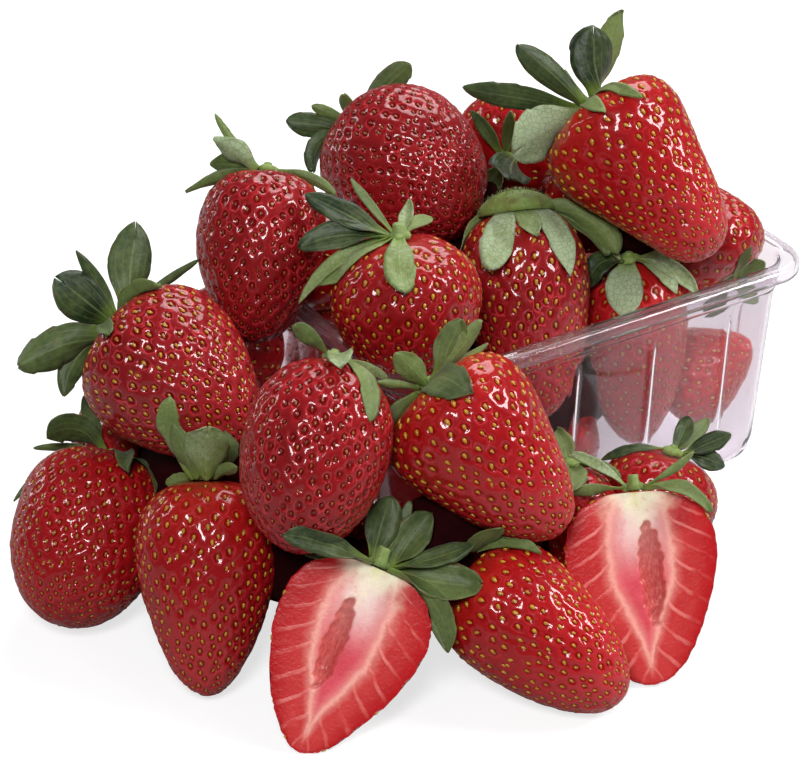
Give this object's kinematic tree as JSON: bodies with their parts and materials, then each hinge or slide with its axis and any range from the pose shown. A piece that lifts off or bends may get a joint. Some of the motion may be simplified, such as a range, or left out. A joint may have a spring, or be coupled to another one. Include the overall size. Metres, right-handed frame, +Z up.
{
  "type": "punnet of strawberries",
  "caption": "Clear ribbed plastic punnet heaped over its rim with ripe strawberries that spill onto the floor round one corner, two of them cut in half.",
  "frame": {"origin": "centre of the underside of the punnet's base, on the floor", "axes": "+X along the punnet's long side, +Y towards its back, +Z up; the berries spill round the corner at -X and -Y"},
  "size_m": [0.2312, 0.1948, 0.1337],
  "materials": {
    "clear_plastic": "clear thermoformed sheet, glossy, with a faint lilac tint at its edges",
    "strawberry": "moist red skin with pitted yellow seeds",
    "strawberry_cut": "wet cut flesh, red at the skin and pale pink round the hollow heart",
    "leaf": "matt green calyx leaves with paler undersides"
  },
  "bodies": {
    "root": {"punnet": "clear_plastic", "berries_in_punnet": "strawberry", "berries_spilled": "strawberry", "half_left": "strawberry_cut", "half_right": "strawberry_cut"}
  },
  "joints": []
}
